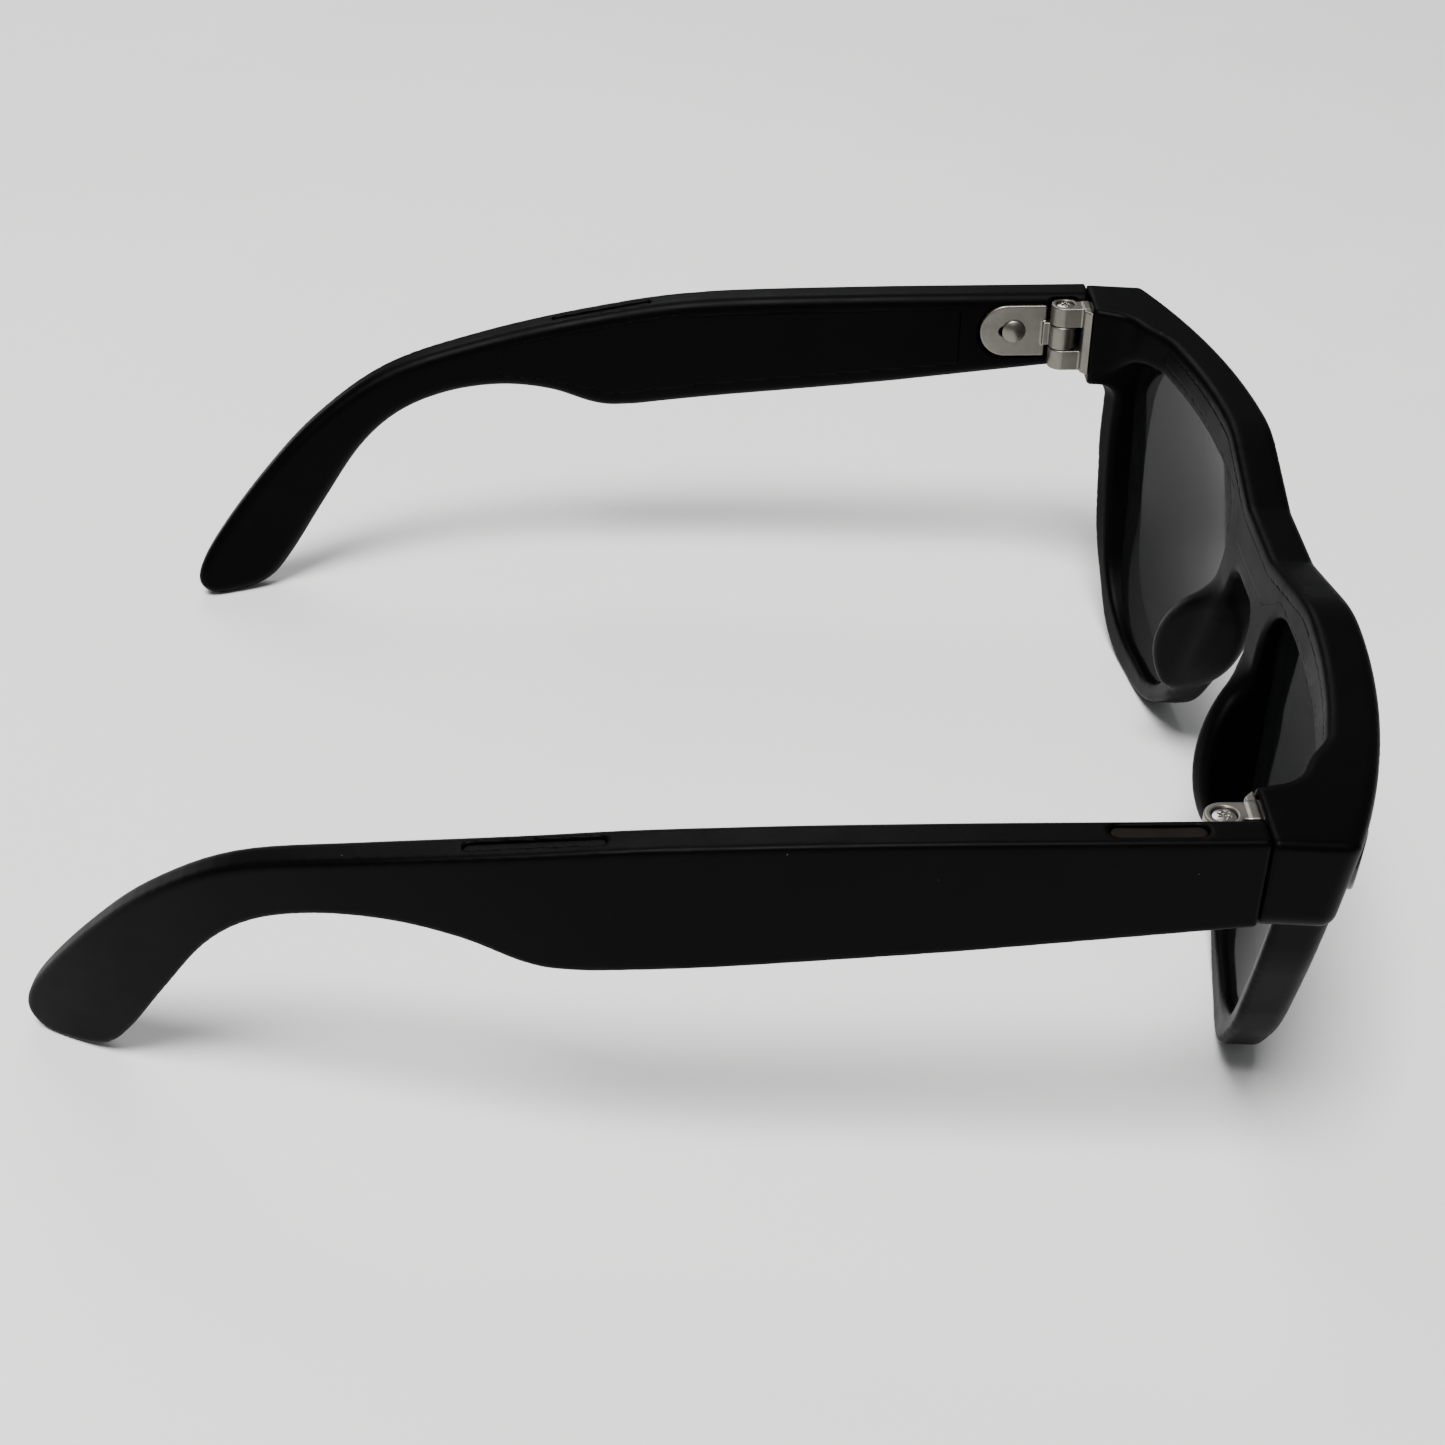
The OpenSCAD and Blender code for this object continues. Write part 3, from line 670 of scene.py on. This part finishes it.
class Paint:
    """A node material around one Principled shader."""

    def __init__(self, name, **sockets):
        self.material = bpy.data.materials.new(name)
        self.material.use_nodes = True
        self.tree = self.material.node_tree
        self.shader = self.tree.nodes["Principled BSDF"]
        for key, value in sockets.items():
            self.shader.inputs[key.replace("_", " ")].default_value = value
        self.place = self.tree.nodes.new("ShaderNodeTexCoord").outputs["Object"]

    def link(self, source, target):
        self.tree.links.new(source, target)
        return source

    def node(self, kind, **inputs):
        made = self.tree.nodes.new("ShaderNode" + kind)
        for key, value in inputs.items():
            name = key.replace("_", " ")
            if name in made.inputs:
                if isinstance(value, bpy.types.NodeSocket):
                    self.link(value, made.inputs[name])
                else:
                    made.inputs[name].default_value = value
            else:
                setattr(made, key, value)
        return made.outputs[0]

    def noise(self, scale, detail=3.0, roughness=0.55):
        return self.node("TexNoise", Vector=self.place, Scale=scale, Detail=detail, Roughness=roughness)

    def ramp(self, fac, *stops):
        out = self.node("ValToRGB", Fac=fac)
        elements = out.node.color_ramp.elements
        while len(elements) < len(stops):
            elements.new(0.5)
        for element, (position, colour) in zip(elements, stops):
            element.position = position
            value = colour if isinstance(colour, tuple) else (colour,) * 3
            element.color = (*value, 1)
        return out

    def mix(self, fac, a, b):
        """A blend of two colours, from a to b."""
        made = self.node("Mix", data_type="RGBA").node
        for socket, value in ((made.inputs[0], fac), (made.inputs[6], a), (made.inputs[7], b)):
            if isinstance(value, bpy.types.NodeSocket):
                self.link(value, socket)
            else:
                socket.default_value = value if isinstance(value, float) else (*value, 1)
        return made.outputs[2]

    def math(self, operation, a, b=0.0):
        out = self.node("Math", operation=operation)
        for socket, value in zip(out.node.inputs, (a, b)):
            if isinstance(value, bpy.types.NodeSocket):
                self.link(value, socket)
            else:
                socket.default_value = value
        return out

    def colour(self, source):
        self.link(source, self.shader.inputs["Base Color"])

    def rough(self, source):
        self.link(source, self.shader.inputs["Roughness"])

    def bump(self, height, strength, distance):
        out = self.node("Bump", Height=height, Strength=strength, Distance=distance)
        self.link(out, self.shader.inputs["Normal"])

    def specks(self, scale, size, share):
        """Small round dots, a share of the cells of a Voronoi pattern."""
        cells = self.node("TexVoronoi", Vector=self.place, Scale=scale)
        near = self.math("LESS_THAN", cells, size)
        chosen = self.node("SeparateColor", Color=cells.node.outputs["Color"])
        return self.math("MULTIPLY", near, self.math("LESS_THAN", chosen, share))


DUST_GREY = (0.34, 0.34, 0.33)


def moulded_black(name, dark, light, rough_low, rough_high):
    """Matte moulded plastic with a fine grain, faint handling marks and a few specks of dust."""
    p = Paint(name, Specular_IOR_Level=0.035)
    broad = p.noise(45, 4)
    body = p.ramp(broad, (0.3, dark), (0.7, light))
    dust = p.specks(330, 0.03, 0.07)
    lint = p.specks(150, 0.018, 0.10)
    marks = p.math("MAXIMUM", p.math("MULTIPLY", dust, 0.16), p.math("MULTIPLY", lint, 0.22))
    p.colour(p.mix(marks, body, DUST_GREY))
    smears = p.noise(110, 5, 0.65)
    p.rough(p.ramp(smears, (0.3, rough_low), (0.72, rough_high)))
    grain = p.math("ADD", p.noise(5200, 2), p.math("MULTIPLY", p.noise(1500, 2), 0.6))
    p.bump(grain, 0.22, 0.00004)
    return p.material


def lens_tint():
    """Dark grey tint, glossy, with faint wipe marks."""
    p = Paint("lens_grey", IOR=1.5, Specular_IOR_Level=0.022, Alpha=0.84)
    p.colour(p.ramp(p.noise(28, 3), (0.25, (0.004, 0.0043, 0.005)), (0.75, (0.006, 0.006, 0.0062))))
    p.rough(p.ramp(p.noise(140, 5, 0.7), (0.3, 0.03), (0.75, 0.085)))
    p.bump(p.noise(60, 2), 0.02, 0.0002)
    return p.material


def gloss(name, low, high, rough=0.12, **sockets):
    p = Paint(name, **sockets)
    p.colour(p.ramp(p.noise(160, 3), (0.3, low), (0.7, high)))
    p.rough(p.ramp(p.noise(420, 4), (0.3, rough), (0.7, rough * 1.7)))
    return p.material


def satin_metal(name, low, high, rough_low, rough_high, grain_scale):
    """Blasted or turned metal with fine grain and slight tarnish."""
    p = Paint(name, Metallic=1.0)
    p.colour(p.ramp(p.noise(260, 4), (0.3, low), (0.7, high)))
    p.rough(p.ramp(p.noise(900, 4, 0.6), (0.3, rough_low), (0.7, rough_high)))
    p.bump(p.noise(grain_scale, 2), 0.2, 0.00003)
    return p.material


def plain_grain(name, low, high, rough, grain_scale=2200, **sockets):
    p = Paint(name, **sockets)
    p.colour(p.ramp(p.noise(300, 4), (0.3, low), (0.7, high)))
    p.rough(p.ramp(p.noise(700, 3), (0.3, rough * 0.85), (0.7, min(1.0, rough * 1.2))))
    p.bump(p.noise(grain_scale, 3), 0.25, 0.00005)
    return p.material


def woven(name):
    """Fine black acoustic mesh: two sets of threads that cross."""
    p = Paint(name, Specular_IOR_Level=0.08)
    across = p.node("TexWave", Vector=p.place, Scale=1400.0, bands_direction="Y")
    along = p.node("TexWave", Vector=p.place, Scale=1400.0, bands_direction="X")
    threads = p.math("MAXIMUM", across, along)
    p.colour(p.ramp(threads, (0.35, (0.0006, 0.0006, 0.0006)), (0.9, (0.004, 0.004, 0.0043))))
    p.rough(p.ramp(threads, (0.2, 0.85), (0.9, 0.6)))
    p.bump(threads, 0.6, 0.0001)
    return p.material


materials = {
    "frame_black": moulded_black(
        "frame_black", (0.0005, 0.0005, 0.0006), (0.0009, 0.0009, 0.0011), 0.38, 0.50
    ),
    "lens_grey": lens_tint(),
    "bezel_black": gloss("bezel_black", (0.008, 0.008, 0.009), (0.012, 0.012, 0.013), 0.16),
    "window_clear": gloss(
        "window_clear", (0.012, 0.012, 0.018), (0.02, 0.02, 0.03), 0.04, Alpha=0.85, Coat_Weight=0.5
    ),
    "hinge_satin": satin_metal("hinge_satin", (0.15, 0.143, 0.126), (0.2, 0.19, 0.168), 0.3, 0.44, 7000),
    "screw_bright": satin_metal("screw_bright", (0.33, 0.32, 0.295), (0.44, 0.425, 0.4), 0.18, 0.32, 5000),
    "button_brown": plain_grain(
        "button_brown", (0.0042, 0.0033, 0.0026), (0.0068, 0.0053, 0.0043), 0.5, Specular_IOR_Level=0.05
    ),
    "board_green": plain_grain("board_green", (0.012, 0.08, 0.035), (0.02, 0.12, 0.055), 0.35),
    "can_silver": satin_metal("can_silver", (0.6, 0.6, 0.62), (0.72, 0.72, 0.74), 0.28, 0.4, 4000),
    "flex_amber": plain_grain("flex_amber", (0.36, 0.16, 0.03), (0.5, 0.24, 0.05), 0.3),
    "contact_gold": satin_metal("contact_gold", (0.7, 0.5, 0.2), (0.83, 0.62, 0.28), 0.18, 0.3, 5000),
    "cell_foil": satin_metal("cell_foil", (0.3, 0.31, 0.34), (0.4, 0.41, 0.45), 0.3, 0.45, 1800),
    "module_grey": plain_grain("module_grey", (0.06, 0.06, 0.065), (0.1, 0.1, 0.105), 0.5),
    "mesh_black": woven("mesh_black"),
}
for name, node in nodes.items():
    node.data.materials.clear()
    node.data.materials.append(materials[slot_of[name]])

# ---- Pieces ----

FRONT_PITCH = 0.5
ARM_PITCH = 0.42
LENS_PITCH = 0.45
FINE_PITCH = 0.1

RIGHT_ARM = OTHER_SIDE @ ARM
RIGHT_GLASSES = OTHER_SIDE @ GLASSES
RIGHT_RING = OTHER_SIDE @ RING

make("front_frame", front_field, FRONT_PITCH, GLASSES)
make("brow_cover", brow_cover_field, 0.3, GLASSES)
make("left_lens", lens_field, LENS_PITCH, GLASSES)
make("right_lens", lens_field, LENS_PITCH, RIGHT_GLASSES)
make("left_temple_shell", left_arm_field, ARM_PITCH, ARM)
make("right_temple_shell", right_arm_field, ARM_PITCH, RIGHT_ARM)
make("left_temple_cover", arm_cover_field, ARM_PITCH, ARM)
make("right_temple_cover", arm_cover_field, ARM_PITCH, RIGHT_ARM)
make("left_hinge_front_leaf", front_leaf_field, FINE_PITCH, ARM)
make("right_hinge_front_leaf", front_leaf_field, FINE_PITCH, RIGHT_ARM)
make("left_hinge_temple_leaf", left_arm_leaf_field, FINE_PITCH, ARM)
make("right_hinge_temple_leaf", arm_leaf_field, FINE_PITCH, RIGHT_ARM)
make("left_hinge_screw", screw_field, 0.06, ARM)
make("right_hinge_screw", screw_field, 0.06, RIGHT_ARM)
make("charging_contacts", contacts_field, FINE_PITCH, GLASSES)
make("capture_button", button_field, FINE_PITCH, RIGHT_ARM)
make("power_switch_knob", knob_field, FINE_PITCH, ARM)
for node, place in (("camera", RING), ("led", RIGHT_RING)):
    make(node + "_bezel", bezel_field, FINE_PITCH, place)
    make(node + "_window", window_field, FINE_PITCH, place)

# ---- Floor, light and camera ----


FLOOR_REACH = 2.5
LIGHT_TARGET = Vector((0, 0, 0.02))


def add_floor():
    mesh = bpy.data.meshes.new("floor")
    corners = [(x * FLOOR_REACH, y * FLOOR_REACH, 0) for x, y in ((-1, -1), (1, -1), (1, 1), (-1, 1))]
    mesh.from_pydata(corners, [], [(0, 1, 2, 3)])
    p = Paint("floor_pale", Specular_IOR_Level=0.3)
    p.colour(p.ramp(p.noise(6, 3), (0.3, (0.83, 0.832, 0.82)), (0.7, (0.86, 0.862, 0.85))))
    p.rough(p.ramp(p.noise(40, 3), (0.3, 0.6), (0.7, 0.75)))
    p.bump(p.noise(190, 4), 0.12, 0.0004)
    mesh.materials.append(p.material)
    floor = bpy.data.objects.new("floor", mesh)
    bpy.context.scene.collection.objects.link(floor)


def add_light(name, place, size, power):
    """A square soft light that looks at the glasses."""
    data = bpy.data.lights.new(name, "AREA")
    data.size = size
    data.energy = power
    light = bpy.data.objects.new(name, data)
    light.location = place
    light.rotation_mode = "QUATERNION"
    light.rotation_quaternion = (LIGHT_TARGET - Vector(place)).to_track_quat("-Z", "Y")
    bpy.context.scene.collection.objects.link(light)


def add_world(strength):
    world = bpy.data.worlds.new("studio")
    world.use_nodes = True
    background = world.node_tree.nodes["Background"]
    background.inputs["Color"].default_value = (0.97, 0.985, 1.0, 1)
    background.inputs["Strength"].default_value = strength
    bpy.context.scene.world = world


add_floor()
add_world(0.21)
add_light("key", (-0.45, 0.2, 1.25), 0.5, 33)
add_light("fill", (0.95, 0.25, 0.95), 0.8, 8)

# The camera stands to the wearer's right and looks across and down
CAMERA_PLACE = (-0.23937, 0.00252, 0.1833)
CAMERA_TURN = (52.568, -2.791, -89.546)
camera_data = bpy.data.cameras.new("camera")
camera_data.sensor_width = 36.0
camera_data.lens = 50.62
camera_data.shift_x = 0.0051
camera_data.shift_y = 0.0529
camera_data.clip_start = 0.01
camera = bpy.data.objects.new("camera", camera_data)
camera.location = CAMERA_PLACE
camera.rotation_euler = [math.radians(angle) for angle in CAMERA_TURN]
bpy.context.scene.collection.objects.link(camera)
bpy.context.scene.camera = camera
